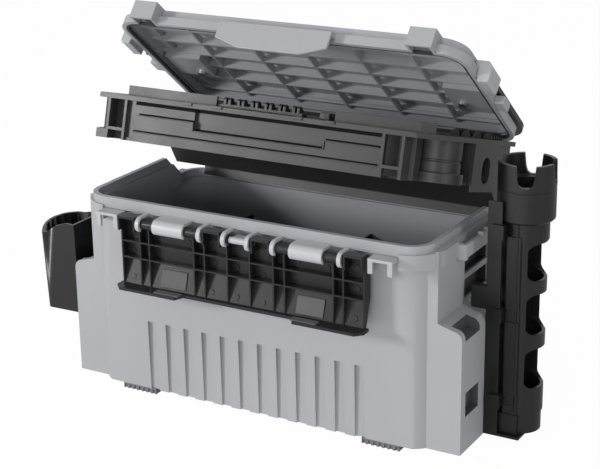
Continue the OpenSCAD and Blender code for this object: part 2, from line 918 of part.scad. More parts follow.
module tray_deck() {
  x0 = tray_walls[1] + tray_wall / 2;
  x1 = tray_x - 4 * tray_wall;
  y1 = deck_open_front + deck_open_len;
  color("dimgray") tray_frame() difference() {
    union() {
      difference() {
        translate([0, 0, deck_z]) linear_extrude(deck_t) flange_outline();
        difference() {
          for (x = [[-x1, -x0], [-x0 + tray_wall, x0 - tray_wall], [x0, x1]])
            box([x[0], deck_open_front, deck_z - over], [x[1], y1, deck_top + over]);
          translate([cup_x, cup_y, deck_z]) cylinder(h = deck_t, r = cup_r + 3 * cup_wall);
          box([notch_x - tray_wall, tray_front, deck_z], [deck_x, notch_y + tray_wall, deck_top]);
          box([roll_x - roll_r, roll_y - roll_len / 2 - tray_wall, deck_z], [deck_x, y1 + over, deck_top]);
        }
      }
      // Raised rails near the front edge
      translate([0, rail_y, deck_top - over]) linear_extrude(rail_h + over) rail_outline();
    }
    translate([cup_x, cup_y, deck_z - over]) cylinder(h = deck_t + 2 * over, r = cup_r);
    // Slot for the lid's tab
    box([-tab_w / 2 - 2 * gap, lid_front - tab_out - 2 * gap, deck_z - over],
        [tab_w / 2 + 2 * gap, lid_front - tab_out + tab_t + 3 * gap, deck_top + over]);
    for (i = [0 : roll_n - 1])
      translate([roll_x + roll_r + i * roll_pitch, roll_y, roll_z])
        rotate([90, 0, 0]) cylinder(h = roll_len + 2 * gap, r = roll_r, center = true);
  }
}

module end_hole() {
  translate([0, end_hole_y, tray_z + end_hole_z]) rotate([0, 90, 0]) {
    for (z = half) translate([z * (end_hole_h - end_hole_w) / 2, 0, 0])
      cylinder(h = deck_w, r = end_hole_w / 2);
    translate([-(end_hole_h - end_hole_w) / 2, -end_hole_w / 2, 0])
      cube([end_hole_h - end_hole_w, end_hole_w, deck_w]);
  }
}

module tray_end_plate() {
  color("dimgray") tray_frame() difference() {
    union() {
      box([tray_x, end_y, tray_z], [tray_x + end_t, end_y + end_len, tray_top]);
      box([lip_w / 2 + 2 * gap, end_y, tray_z - end_low], [tray_x + end_t, end_y + end_len, tray_top]);
    }
    end_hole();
  }
}

module cup_holder() {
  color("dimgray") tray_frame() translate([cup_x, cup_y, tray_z]) difference() {
    union() {
      cylinder(h = tray_h, r = cup_r + cup_wall);
      cylinder(h = cup_ring_h, r = cup_r + cup_wall + cup_ring);
    }
    translate([0, 0, cup_low]) cylinder(h = tray_h, r = cup_r);
    translate([0, 0, tray_h / 2]) difference() {
      cylinder(h = 2 * cup_groove, r = 2 * cup_r);
      translate([0, 0, -over])
        cylinder(h = 2 * over + 2 * cup_groove, r = cup_r + cup_wall - cup_groove);
    }
  }
}

module hook_comb() {
  color("black") tray_frame() {
    box([comb_l, comb_y, deck_top], [comb_l + comb_n * comb_pitch, comb_y + comb_d, deck_top + comb_base]);
    for (i = [0 : comb_n - 1], s = half)
      translate([comb_l + (i + 0.5) * comb_pitch + s * (comb_tooth + comb_nip) / 2, comb_y,
                 deck_top + comb_base / 2])
        along_x(-comb_tooth / 2, comb_tooth / 2)
          polygon([[0, 0], [0, rail_h - comb_base], [comb_nip, rail_h - comb_base / 2],
                   [comb_d / 2, rail_h - comb_base / 2], [comb_d, comb_base], [comb_d, 0]]);
  }
}

module rig_rolls() {
  color("black") tray_frame() for (i = [0 : roll_n - 1])
    translate([roll_x + roll_r + i * roll_pitch, roll_y + roll_len / 2, roll_z]) rotate([90, 0, 0]) {
      cylinder(h = roll_len, r = roll_r - roll_groove);
      for (y = [0 : 2 * roll_step : roll_len - roll_step])
        translate([0, 0, y]) cylinder(h = roll_step, r = roll_r);
    }
}

module deck_clip() {
  color("black") tray_frame() difference() {
    box([clip_x, comb_y, deck_top], [clip_x + clip_w, comb_y + clip_d, deck_top + clip_h]);
    box([clip_x - over, comb_y + clip_d / 3, deck_top + clip_h / 2],
        [clip_x + clip_w + over, comb_y + 2 * clip_d / 3, deck_top + clip_h + over]);
  }
}

module lid_hinge_pin() {
  color("gray") tray_frame()
    rod_x(-lid_pin_len / 2, lid_pin_len / 2, lid_hinge_y, lid_hinge_z, lid_pin_r);
}

// Lid
module rim_plate(inset, z0, z1) {
  plate(lid_w - 2 * inset, lid_front + inset, lid_d - 2 * inset, rim_r - inset, lid_z + z0, lid_z + z1);
}

module lid_block(s) {
  scale_x(s) box([block_x - block_w / 2, lid_front - block_out, lid_z],
                 [block_x + block_w / 2, lid_front - block_out + block_len, lid_z + block_h]);
}

module lid_shell() {
  in2 = crown_in + lid_wall;
  slice = over / 2;
  color("dimgray") lid_frame() difference() {
    union() {
      difference() {
        union() {
          rim_plate(0, 0, rim_h);
          rim_plate(crown_in, rim_h, crown_edge_h);
          hull() {
            rim_plate(crown_in, crown_edge_h - slice, crown_edge_h);
            rim_plate(crown_in + crown_bevel, crown_h - slice, crown_h);
          }
          for (s = half) lid_block(s);
        }
        rim_plate(rim_wall, -over, rim_h - lid_wall);
        rim_plate(in2, 0, crown_edge_h - lid_wall);
        rim_plate(crown_in + crown_bevel, 0, ceiling);
        for (s = half) scale_x(s)
          box([block_x - block_w / 2 + block_wall, lid_front - block_out + block_wall, lid_z - over],
              [block_x + block_w / 2 - block_wall, lid_front - block_out + block_len - block_wall,
               lid_z + block_h - block_wall]);
      }
      for (y = rib_rows) {
        box([in2 - over - lid_x, y - rib_t / 2, lid_z + rib_low],
            [lid_x - in2 + over, y + rib_t / 2, lid_z + crown_edge_h - slice]);
        box([in2 + crown_bevel - lid_x, y - rib_t / 2, lid_z + rib_low],
            [lid_x - in2 - crown_bevel, y + rib_t / 2, lid_z + ceiling + slice]);
      }
      for (i = [0 : rib_cols - 1])
        box([(i - (rib_cols - 1) / 2) * rib_pitch - rib_t / 2, lid_front + in2 - over, lid_z + rib_low],
            [(i - (rib_cols - 1) / 2) * rib_pitch + rib_t / 2, lid_back - in2 + over, lid_z + crown_edge_h]);
      for (s = half) scale_x(s)
        box([boss_x, boss_y, lid_z + boss_low], [boss_x + boss_w, boss_y + boss_d, lid_z + crown_edge_h]);
      for (x = lid_lugs) along_x(x - lid_lug_w / 2, x + lid_lug_w / 2) {
        translate([lid_hinge_y, lid_hinge_z]) circle(lid_knuckle_r);
        polygon([[lid_hinge_y - lid_knuckle_r, lid_hinge_z], [lid_back, lid_hinge_z],
                 [lid_back, lid_z + rim_wall], [lid_back - rim_wall, lid_z + rim_wall],
                 [lid_back - rim_wall, lid_z]]);
      }
    }
    for (x = lid_lugs)
      rod_x(x - lid_lug_w, x + lid_lug_w, lid_hinge_y, lid_hinge_z, lid_pin_r + run_fit);
    for (s = half) {
      translate([s * screw_x, screw_y, lid_z]) cylinder(h = boss_low + screw_len, r = screw_r + run_fit);
      scale_x(s) rod_x(lid_x - 2 * rim_wall, lid_x + over, handle_y, lid_z + handle_z,
                       handle_pin_r + run_fit);
    }
  }
}

module lid_seal() {
  color("black") lid_frame() difference() {
    rim_plate(rim_wall, seal_low, seal_low + seal_h);
    rim_plate(rim_wall + seal_w, -over, seal_h + 2 * over);
  }
}

module lid_catch_tab() {
  y0 = lid_front - tab_out;
  color("gray") lid_frame() {
    translate([0, 0, lid_z]) along_y(y0, y0 + tab_t)
      polygon([[-tab_w / 2, tab_top], [-tab_w / 2, -tab_side_drop], [-tab_flat_w / 2, -tab_drop],
               [tab_flat_w / 2, -tab_drop], [tab_w / 2, -tab_side_drop], [tab_w / 2, tab_top]]);
    box([-tab_w / 2, y0, lid_z + tab_top - tab_t], [tab_w / 2, lid_front, lid_z + tab_top]);
  }
}

module lid_screws() {
  color("silver") lid_frame() for (s = half) translate([s * screw_x, screw_y, lid_z + boss_low]) {
    cylinder(h = screw_len - over, r = screw_r);
    translate([0, 0, -screw_head]) cylinder(h = screw_head, r = screw_head_r);
  }
}

module handle_hubs() {
  x1 = lid_x + hub_out;
  color("dimgray") lid_frame() mirrored() translate([0, 0, lid_z]) along_y(hub_y, hub_y + hub_len)
    polygon([[lid_x, gap], [lid_x + hub_seat, gap], [lid_x + hub_seat, -hub_low], [x1 - hub_seat, -hub_low],
             [x1, hub_seat - hub_low], [x1, hub_h - hub_r], [x1 - hub_r, hub_h], [lid_x - crown_in, hub_h],
             [lid_x - crown_in, rim_h], [lid_x, rim_h]]);
}

module handle_pins() {
  color("silver") lid_frame() mirrored()
    rod_x(lid_x - handle_pin_in, lid_x - handle_pin_in + handle_pin_len, handle_y,
          lid_z + handle_z, handle_pin_r);
}

module lid_side_clips() {
  color("lightgray") lid_frame() mirrored() {
    box([lid_x, clip_y, lid_z + gap], [lid_x + clip_out, clip_y + clip_len, lid_z + clip_rise]);
    for (i = [0 : clip_ridges - 1])
      translate([lid_x + clip_out, clip_y + (i + 0.25) * clip_len / clip_ridges, lid_z + gap])
        cube([clip_ridge, clip_len / (2 * clip_ridges), clip_rise - gap]);
  }
}

module handle_frame() {
  z = lid_z + handle_z;
  low = lid_z + arm_low;
  grip_y = lid_back + grip_back;
  y0 = handle_y + arm_start;
  turn_y = grip_y + bar_rod_r - arm_turn;
  color("black") lid_frame() {
    mirrored() difference() {
      union() {
        rod_x(lid_x + boss_gap, lid_x + boss_out, handle_y, z, boss_r);
        along_x(lid_x + boss_gap, lid_x + boss_out)
          polygon([[handle_y, z - boss_r], [handle_y + arm_knee, low], [handle_y + arm_knee, low + arm_h],
                   [handle_y, z + boss_r]]);
        box([lid_x - arm_in, y0, low], [lid_x + boss_out, turn_y + over, low + arm_h]);
        translate([lid_x + boss_out - arm_turn, turn_y, low]) difference() {
          cylinder(h = arm_h, r = arm_turn);
          translate([0, 0, -over]) cylinder(h = arm_h + 2 * over, r = arm_turn - arm_in - boss_out);
          box([-arm_turn - over, -arm_turn - over, -over], [0, arm_turn + over, arm_h + over]);
          box([-over, -arm_turn - over, -over], [arm_turn + over, 0, arm_h + over]);
        }
      }
      rod_x(lid_x, lid_x + boss_out + over, handle_y, z, handle_pin_r + run_fit);
    }
    rod_x(arm_turn - lid_x - arm_in - boss_out, lid_x + boss_out + arm_in - arm_turn, grip_y,
          lid_z + grip_z, bar_rod_r);
  }
}

module handle_grip() {
  grip_y = lid_back + grip_back;
  color("black") lid_frame() difference() {
    rod_x(-grip_w / 2, grip_w / 2, grip_y, lid_z + grip_z, grip_r);
    rod_x(-grip_w, grip_w, grip_y, lid_z + grip_z, bar_rod_r);
  }
}

// Latch
module hook_slots() {
  for (s = half, x = hook_places)
    rod_x(s * x - hook_w / 2 - slot_side, s * x + hook_w / 2 + slot_side, 0, 0, slot_r);
  for (s = half)
    rod_x(s * shield_x - shield_w / 2 - slot_side, s * shield_x + shield_w / 2 + slot_side, 0, 0, slot_r);
}

// Section of a rib or an end wall, up to a depth behind the front
module latch_section(deep) {
  polygon([[-latch_edge, 0], [latch_deep + deep, 0], [latch_deep + deep, -latch_rows[1]],
           [deep, -latch_len], [-latch_edge, -latch_len]]);
}

module hood_outline() {
  polygon([[-wrap_front, wrap_top - latch_t], [-wrap_front, wrap_top], [wrap_back, wrap_top],
           [latch_deep + latch_t, -latch_top], [latch_deep + latch_t, -wrap_low],
           [latch_deep, -wrap_low], [latch_deep, -latch_top],
           [wrap_back - latch_t, wrap_top - latch_t]]);
}

module hood_side_outline() {
  polygon([[-wrap_front, -wrap_low], [-wrap_front, wrap_top - wrap_cut],
           [wrap_cut - wrap_front, wrap_top], [wrap_back, wrap_top],
           [latch_deep + latch_t, -latch_top], [latch_deep + latch_t, -wrap_low]]);
}

module catch_outline() {
  mid = catch_mid_share * latch_half;
  end = latch_half + catch_side;
  mirrored() polygon([[0, latch_t], [0, -catch_mid_out], [mid, -catch_mid_out],
    [mid + catch_cut, -catch_out], [end - catch_corner, -catch_out], [end, catch_corner - catch_out],
    [end, latch_t]]);
}

module latch_plate() {
  saddle_gap = saddle_w / 2 + slot_side;
  color("black") tub_frame() translate([0, pivot_y, pivot_z]) difference() {
    union() {
      difference() {
        union() {
          along_x(-latch_half, latch_half) polygon([[latch_deep, -latch_top],
            [latch_deep + latch_t, -latch_top], [latch_deep + latch_t, -latch_rows[1]],
            [latch_t, -latch_len], [0, -latch_len], [latch_deep, -latch_rows[1]]]);
          for (z = latch_rows)
            box([-latch_half, -latch_edge, -z - latch_rib_t / 2],
                [latch_half, latch_deep + latch_t / 2, -z + latch_rib_t / 2]);
          for (s = half, x = latch_shares)
            along_x(s * x * latch_half - latch_rib_t / 2, s * x * latch_half + latch_rib_t / 2)
              latch_section(latch_t / 2);
          for (s = half) scale_x(s) along_x(latch_half - latch_rib_t, latch_half) latch_section(latch_t);
        }
        hook_slots();
        rod_x(-saddle_gap, saddle_gap, 0, 0, slot_r);
      }
      // Hoods over the pivot line, each with two side walls
      for (s = half, w = wrap_shares) scale_x(s) {
        along_x(w[0] * latch_half, w[1] * latch_half) hood_outline();
        for (x = [w[0] * latch_half, w[1] * latch_half - latch_rib_t])
          along_x(x, x + latch_rib_t) hood_side_outline();
      }
      // Catch along the bottom, shallow in the middle
      translate([0, 0, -latch_len - catch_t]) linear_extrude(catch_t) catch_outline();
      for (s = half) scale_x(s) {
        rod_x(saddle_gap, wrap_shares[0][0] * latch_half + latch_rib_t, 0, 0, bar_r);
        rod_x(wrap_shares[0][1] * latch_half - latch_rib_t, wrap_shares[1][0] * latch_half + latch_rib_t,
              0, 0, bar_r);
      }
    }
    rod_x(-latch_pin_len / 2 - over, latch_pin_len / 2 + over, 0, 0, latch_pin_r + run_fit);
  }
}

module latch_pads() {
  slope = latch_deep / (latch_len - latch_rows[1]);
  z0 = catch_pad_low - latch_len;
  z1 = z0 + catch_pad_h;
  y0 = slope * catch_pad_low;
  y1 = slope * (catch_pad_low + catch_pad_h);
  color("lightgray") tub_frame() translate([0, pivot_y, pivot_z]) for (s = half)
    along_x(s * catch_pad_x - catch_pad_w / 2, s * catch_pad_x + catch_pad_w / 2)
      polygon([[y0, z0], [y1, z1], [y1 - catch_pad_t, z1], [y0 - catch_pad_t, z0]]);
}

module catch_pads() {
  low = pivot_z - latch_len;
  color("lightgray") tub_frame() for (s = half)
    box([s * catch_pad_x - lip_pad_w / 2, pivot_y - catch_out + over, low],
        [s * catch_pad_x + lip_pad_w / 2, pivot_y - catch_out + over + lip_pad_d, low + lip_pad_t]);
}

// Rod stand
module stand_bracket() {
  y1 = strip_y + strip_t;
  arm_z = bin_top + gap;
  color("dimgray") tub_frame() {
    box([bin_x, strip_y, strip_low], [bin_x + strip_w, y1, strip_low + strip_h]);
    box([bin_x, strip_y, strip_low],
        [bin_x + foot_plate_w, strip_y + foot_plate_d, strip_low + foot_plate_t]);
    box([bin_x, strip_y, strip_low],
        [bin_x + strip_t, strip_y + foot_plate_d, strip_low + 5 * foot_plate_t]);
    box([bin_x - arm_reach, strip_y, arm_z], [bin_x + strip_t, strip_y + arm_deep, arm_z + arm_rise]);
  }
}

module rod_tube() {
  color("dimgray") tub_frame() translate([stand_x, stand_y, 0]) difference() {
    union() {
      translate([0, 0, tube_low]) cylinder(h = base_top - tube_low, r = base_r);
      translate([0, 0, base_top]) cylinder(h = tube_top - base_top, r = tube_r);
      translate([0, 0, crown_low - collar_h]) cylinder(h = collar_h, r = tube_r + collar_out);
      // Flat front plate, and the block at the foot
      box([-plate_in, plate_y - stand_y, tube_low], [plate_out, 0, crown_low - collar_h]);
      box([-block_in, plate_y - stand_y - collar_out, tube_low], [block_out_r, 0, base_top]);
    }
    translate([0, 0, tube_low + tube_floor]) cylinder(h = tube_top, r = tube_r - tube_wall);
    for (s = port_shares) rotate([0, 0, port_angle]) along_x(0, tube_r + over)
      translate([0, s[0] * stand_h]) round_rect(port_w, (s[1] - s[0]) * stand_h, port_r);
  }
}

module prong_gap() {
  polygon(concat([for (p = prong_shares) [p[0] * prong_half, -p[1] * prong_h]],
                 [for (i = [len(prong_shares) - 1 : -1 : 0])
                    [-prong_shares[i][0] * prong_half, -prong_shares[i][1] * prong_h]],
                 [[-prong_half, over], [prong_half, over]]));
}

module rod_crown() {
  color("dimgray") tub_frame() translate([stand_x, stand_y, 0]) difference() {
    union() {
      translate([0, 0, crown_low]) cylinder(h = crown_foot, r1 = top_r - crown_foot, r2 = top_r);
      translate([0, 0, crown_low + crown_foot]) cylinder(h = stand_h - crown_low - crown_foot, r = top_r);
    }
    translate([0, 0, crown_low - over]) cylinder(h = tube_lap + over, r = tube_r + run_fit);
    translate([0, 0, tube_top - over]) cylinder(h = stand_h, r = tube_r - tube_wall);
    translate([0, 0, stand_h - crown_floor]) cylinder(h = stand_h, r = top_r - crown_wall);
    translate([0, 0, stand_h - crown_seam]) difference() {
      cylinder(h = crown_seam_h, r = 2 * top_r);
      translate([0, 0, -over]) cylinder(h = crown_seam_h + 2 * over, r = top_r - crown_seam_in);
    }
    for (a = prong_angles) translate([0, 0, stand_h]) rotate([0, 0, a])
      along_x(tube_wall, top_r + over) prong_gap();
  }
}

module tube_snaps() {
  x0 = bin_x + snap_x;
  x1 = bin_x + strip_w + gap;
  y1 = strip_y + strip_t + gap;
  color("black") tub_frame() for (s = snap_shares) difference() {
    z = s * stand_h;
    union() {
      box([x0, y1, z], [x1 + snap_t, y1 + snap_len, z + snap_h]);
      box([x1, strip_y - gap - snap_t, z], [x1 + snap_t, y1 + snap_t, z + snap_h]);
      box([x0, strip_y - gap - snap_t, z], [x1 + snap_t, strip_y - gap, z + snap_h]);
    }
    translate([stand_x, stand_y, 0]) cylinder(h = stand_h, r = tube_r + gap);
    translate([stand_x, stand_y, crown_low - collar_h - gap])
      cylinder(h = collar_h + gap, r = tube_r + collar_out + gap);
  }
}

// Side pocket
module pocket_body(inset, z0, z1) {
  w = pocket_w - inset;
  d = pocket_len - 2 * inset;
  translate([-bin_x - gap - inset, pocket_y + pocket_len / 2, z0])
    linear_extrude(z1 - z0, scale = 1 / pocket_taper_share) scale(pocket_taper_share)
      polygon([for (p = pocket_shares) [-p[0] * (w - inset), (p[1] - 0.5) * d]]);
}

module pocket_cup() {
  z0 = pocket_top - pocket_h;
  z1 = pocket_top + pocket_rise;
  x1 = -bin_x - gap;
  color("dimgray") tub_frame() difference() {
    pocket_body(0, z0, z1);
    pocket_body(pocket_wall, z0 + pocket_wall, z1 + over);
    along_y(pocket_y - pocket_len, pocket_y + 2 * pocket_len)
      polygon(concat([for (p = rim_shares) [x1 - p[0] * pocket_w, pocket_top + p[1] * pocket_rise]],
                     [[x1 - 2 * pocket_w, pocket_top], [x1 - 2 * pocket_w, z1 + pocket_rise],
                      [x1 + over, z1 + pocket_rise], [x1 + over, z1]]));
  }
}

module pocket_hook() {
  t = pocket_hook_t;
  rail_in = side_x + srail_out - srail_t - 2 * gap;
  rail_x = side_x + srail_out + gap;
  back_x = bin_x + gap;
  top = lip_low + gap;
  color("black") tub_frame() scale_x(-1) along_y(pocket_hook_y, pocket_hook_y + pocket_hook_len)
    polygon([[back_x, pocket_top - hook_lap], [back_x, pocket_top], [rail_x + t, pocket_top + hook_bend],
             [rail_x + t, top + t], [rail_in - t, top + t], [rail_in - t, top - srail_h / 2],
             [rail_in, top - srail_h / 2], [rail_in, top], [rail_x, top],
             [rail_x, pocket_top + hook_bend - t],
             [back_x - t, pocket_top - t], [back_x - t, pocket_top - hook_lap]]);
}

tub();
rubber_feet();
front_belt_loops();
left_side_rail();
right_side_rail();
latch_pin();
left_divider();
right_divider();
tray_hinge_pin();
tray_case();
tray_deck();
tray_end_plate();
cup_holder();
hook_comb();
rig_rolls();
deck_clip();
lid_hinge_pin();
lid_shell();
lid_seal();
lid_catch_tab();
lid_screws();
handle_hubs();
handle_pins();
lid_side_clips();
handle_frame();
handle_grip();
latch_plate();
latch_pads();
catch_pads();
stand_bracket();
rod_tube();
rod_crown();
tube_snaps();
pocket_cup();
pocket_hook();
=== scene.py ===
import json
import math

import bmesh
import bpy
from mathutils import Matrix, Vector


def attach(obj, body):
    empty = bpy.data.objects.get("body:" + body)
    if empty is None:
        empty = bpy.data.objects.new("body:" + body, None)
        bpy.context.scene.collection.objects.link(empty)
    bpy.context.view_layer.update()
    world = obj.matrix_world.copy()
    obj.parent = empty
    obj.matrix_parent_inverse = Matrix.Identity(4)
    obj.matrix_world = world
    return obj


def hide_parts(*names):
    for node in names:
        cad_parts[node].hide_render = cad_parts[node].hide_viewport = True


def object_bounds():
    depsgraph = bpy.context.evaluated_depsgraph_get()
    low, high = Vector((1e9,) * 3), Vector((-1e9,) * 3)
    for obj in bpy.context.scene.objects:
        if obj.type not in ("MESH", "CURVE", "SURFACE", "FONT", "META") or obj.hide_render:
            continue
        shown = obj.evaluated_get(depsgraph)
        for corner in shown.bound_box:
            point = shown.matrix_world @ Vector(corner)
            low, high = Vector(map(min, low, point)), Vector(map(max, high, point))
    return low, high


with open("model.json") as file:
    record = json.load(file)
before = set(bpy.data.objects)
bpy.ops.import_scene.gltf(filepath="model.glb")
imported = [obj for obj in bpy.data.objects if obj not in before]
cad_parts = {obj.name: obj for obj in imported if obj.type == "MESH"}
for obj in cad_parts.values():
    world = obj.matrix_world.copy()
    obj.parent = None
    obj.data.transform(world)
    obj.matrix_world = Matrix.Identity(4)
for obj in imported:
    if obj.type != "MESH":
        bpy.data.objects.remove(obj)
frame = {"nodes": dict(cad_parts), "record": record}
cad_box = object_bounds()
nodes = frame["nodes"]
MM = 0.001

# Camera: the photograph's place, turn and lens, found from the box's own edges
CAMERA_TURN, CAMERA_RISE, CAMERA_ROLL = (math.radians(a) for a in (29.92, 18.84, -0.89))
CAMERA_OFFSET = Vector((-49.57, -178.27, 1553.49)) * MM
FOCAL_PX, PHOTO_WIDTH = 1586.2, 600
SENSOR_WIDTH, CLIP_END = 36.0, 20.0
HALF_DEPTH = 99.5 * MM


def add_camera():
    """The photograph's camera, placed about the middle of the tub's front."""
    ct, st = math.cos(CAMERA_TURN), math.sin(CAMERA_TURN)
    ce, se = math.cos(CAMERA_RISE), math.sin(CAMERA_RISE)
    right = Vector((ct, st, 0))
    up = Vector((-st * se, ct * se, ce))
    forward = Vector((-st * ce, ct * ce, -se))
    cr, sr = math.cos(CAMERA_ROLL), math.sin(CAMERA_ROLL)
    x_axis = right * cr + up * sr
    y_axis = up * cr - right * sr
    place = -(x_axis * CAMERA_OFFSET.x + y_axis * CAMERA_OFFSET.y + forward * CAMERA_OFFSET.z)
    place.y -= HALF_DEPTH
    data = bpy.data.cameras.new("camera")
    data.sensor_fit = "HORIZONTAL"
    data.sensor_width = SENSOR_WIDTH
    data.lens = FOCAL_PX / PHOTO_WIDTH * data.sensor_width
    data.clip_end = CLIP_END
    camera = bpy.data.objects.new("camera", data)
    camera.matrix_world = Matrix((
        (x_axis.x, y_axis.x, -forward.x, place.x),
        (x_axis.y, y_axis.y, -forward.y, place.y),
        (x_axis.z, y_axis.z, -forward.z, place.z),
        (0, 0, 0, 1)))
    bpy.context.scene.collection.objects.link(camera)
    bpy.context.scene.camera = camera


class Val:
    """A number socket in a node tree; sums and products on it add Math nodes."""

    def __init__(self, tree, socket):
        self.tree, self.socket = tree, socket

    def _math(self, operation, a, b):
        node = self.tree.nodes.new("ShaderNodeMath")
        node.operation = operation
        for slot, value in zip(node.inputs, (a, b)):
            if isinstance(value, Val):
                self.tree.links.new(value.socket, slot)
            else:
                slot.default_value = value
        return Val(self.tree, node.outputs[0])

    def __add__(self, other):
        return self._math("ADD", self, other)

    def __radd__(self, other):
        return self._math("ADD", other, self)

    def __sub__(self, other):
        return self._math("SUBTRACT", self, other)

    def __rsub__(self, other):
        return self._math("SUBTRACT", other, self)

    def __mul__(self, other):
        return self._math("MULTIPLY", self, other)

    def __rmul__(self, other):
        return self._math("MULTIPLY", other, self)

    def power(self, other):
        return self._math("POWER", self, other)

    def above(self, other):
        return self._math("GREATER_THAN", self, other)

    def most(self, other):
        return self._math("MAXIMUM", self, other)


# Scales of the plastics' noise, per metre of the object, the share of the specks in what they are
# laid over, and the grain's strength and depth
DRIFT_SCALE, GLOSS_SCALE, SPECK_SCALE, GRAIN_SCALE = 7.0, 22.0, 900.0, 1500.0
NOISE_ROUGHNESS, SPECK_SHARE = 0.55, 0.3
GRAIN_STRENGTH, GRAIN_DEPTH = 0.25, 0.4 * MM


class Finish:
    """A procedural material: a Principled shader and the nodes that feed it."""

    def __init__(self, name, colour, roughness, **settings):
        self.material = bpy.data.materials.new(name)
        self.material.use_nodes = True
        self.tree = self.material.node_tree
        self.shader = self.tree.nodes["Principled BSDF"]
        self.shader.inputs["Base Color"].default_value = (*colour, 1)
        self.shader.inputs["Roughness"].default_value = roughness
        for key, value in settings.items():
            self.shader.inputs[key.replace("_", " ")].default_value = value
        self.position = self.add("ShaderNodeTexCoord").outputs["Object"]

    def add(self, kind, settings=None, **sockets):
        node = self.tree.nodes.new(kind)
        for key, value in (settings or {}).items():
            setattr(node, key, value)
        for key, value in sockets.items():
            self.feed(node.inputs[key.replace("_", " ")], value)
        return node

    def feed(self, socket, value):
        if isinstance(value, Val):
            self.tree.links.new(value.socket, socket)
        elif isinstance(value, bpy.types.NodeSocket):
            self.tree.links.new(value, socket)
        else:
            socket.default_value = value

    def noise(self, scale, detail=3.0):
        node = self.add("ShaderNodeTexNoise", None, Vector=self.position, Scale=scale, Detail=detail,
                        Roughness=NOISE_ROUGHNESS)
        return Val(self.tree, node.outputs["Fac"])

    def mixed(self, low, high, factor):
        """The colour between two others, each given as three numbers or as another colour's socket."""
        mix = self.add("ShaderNodeMix", {"data_type": "RGBA"})
        self.feed(mix.inputs["Factor"], factor)
        for socket, colour in (("A", low), ("B", high)):
            self.feed(mix.inputs[socket], (*colour, 1) if isinstance(colour, tuple) else colour)
        return mix.outputs["Result"]

    def paint(self, colour):
        self.tree.links.new(colour, self.shader.inputs["Base Color"])

    def rough(self, value):
        self.feed(self.shader.inputs["Roughness"], value)

    def specked(self, ground):
        return ground * (1 - SPECK_SHARE) + self.noise(SPECK_SCALE, 2.0) * SPECK_SHARE

    def mottling(self, drift_scale=DRIFT_SCALE):
        """A slow drift with fine specks in it."""
        return self.specked(self.noise(drift_scale, 4.0))

    def grain(self, strength=1.0):
        """A fine spark-eroded surface."""
        height = self.specked(self.noise(GRAIN_SCALE, 2.0))
        bump = self.add("ShaderNodeBump", None, Height=height, Strength=GRAIN_STRENGTH * strength,
                        Distance=GRAIN_DEPTH)
        self.tree.links.new(bump.outputs["Normal"], self.shader.inputs["Normal"])


def moulded_plastic(name, low, high, rough_low, rough_high, grain=1.0, drift=DRIFT_SCALE, shine=0.5):
    """Moulded plastic: slow colour drift, a fine spark-eroded grain and uneven gloss."""
    finish = Finish(name, high, rough_high, Specular_IOR_Level=shine)
    finish.paint(finish.mixed(low, high, finish.mottling(drift)))
    finish.rough(rough_low + (rough_high - rough_low) * finish.noise(GLOSS_SCALE))
    finish.grain(grain)
    return finish.material


SHELL_LOW, SHELL_HIGH = (0.262, 0.268, 0.282), (0.31, 0.316, 0.33)
TRIM_LOW, TRIM_HIGH = (0.31, 0.315, 0.33), (0.36, 0.365, 0.38)
SHELL_ROUGHNESS, SHELL_GLOSS_RANGE = 0.46, 0.1

# The hooks on the front stand this far before its wall, and within this distance of the middle
HOOK_DEPTH, HOOK_REACH = 0.6 * MM, 136 * MM

# Painted shade inside the tub's side windows, grip recesses and low recesses, dark colour where these hollows
# lie in shade: the distance from the middle, the depth and the height between which each lies, in
# millimetres, and its colour
WINDOW_PAINTED_SHADE, RECESS_PAINTED_SHADE = (0.008, 0.008, 0.0085), (0.06, 0.061, 0.066)
TUB_PAINTED_SHADES = [((182.5, 190.4, -23.6, 30.6, 131.8, 175.7), WINDOW_PAINTED_SHADE),
               ((202.9, 216.6, -74.6, -41.4, 111.6, 127.2), RECESS_PAINTED_SHADE),
               ((207.9, 216.6, -72.1, -41.9, 35.5, 60.1), RECESS_PAINTED_SHADE)]


def tub_plastic():
    """The shell's grey, with the smoother and lighter hooks on the front and painted shade in its windows and
    recesses.
    """
    finish = Finish("tub_plastic", SHELL_HIGH, SHELL_ROUGHNESS)
    split = finish.add("ShaderNodeSeparateXYZ", None, Vector=finish.position)
    across, depth, height = (Val(finish.tree, split.outputs[axis]) for axis in "XYZ")
    hooks = (depth * -1).above(HALF_DEPTH + HOOK_DEPTH) * (1 - (across * across).above(HOOK_REACH ** 2))
    from_middle = (across * across).power(0.5)
    colour = finish.mixed(SHELL_LOW, SHELL_HIGH, finish.mottling())
    # Painted shade: darker colour laid in the windows and recesses
    for spans, painted_shade in TUB_PAINTED_SHADES:
        inside = 1.0
        for value, low, high in zip((from_middle, depth, height), spans[::2], spans[1::2]):
            inside = inside * (value.above(low * MM) * (1 - value.above(high * MM)))
        colour = finish.mixed(colour, painted_shade, inside)
    finish.paint(finish.mixed(colour, TRIM_HIGH, hooks))
    finish.rough(SHELL_ROUGHNESS + SHELL_GLOSS_RANGE * finish.noise(GLOSS_SCALE) - SHELL_GLOSS_RANGE * hooks)
    finish.grain()
    return finish.material


STEEL_LOW, STEEL_HIGH = (0.5, 0.51, 0.52), (0.62, 0.63, 0.64)
STEEL_ROUGHNESS, STEEL_GLOSS_RANGE = 0.24, 0.14
SCRATCH_SCALE, STAIN_SCALE = 300.0, 40.0


def steel(name):
    """Drawn steel with an uneven sheen."""
    finish = Finish(name, STEEL_HIGH, STEEL_ROUGHNESS, Metallic=1.0)
    finish.rough(STEEL_ROUGHNESS + STEEL_GLOSS_RANGE * finish.noise(SCRATCH_SCALE, 2.0))
    finish.paint(finish.mixed(STEEL_LOW, STEEL_HIGH, finish.noise(STAIN_SCALE)))
    return finish.material


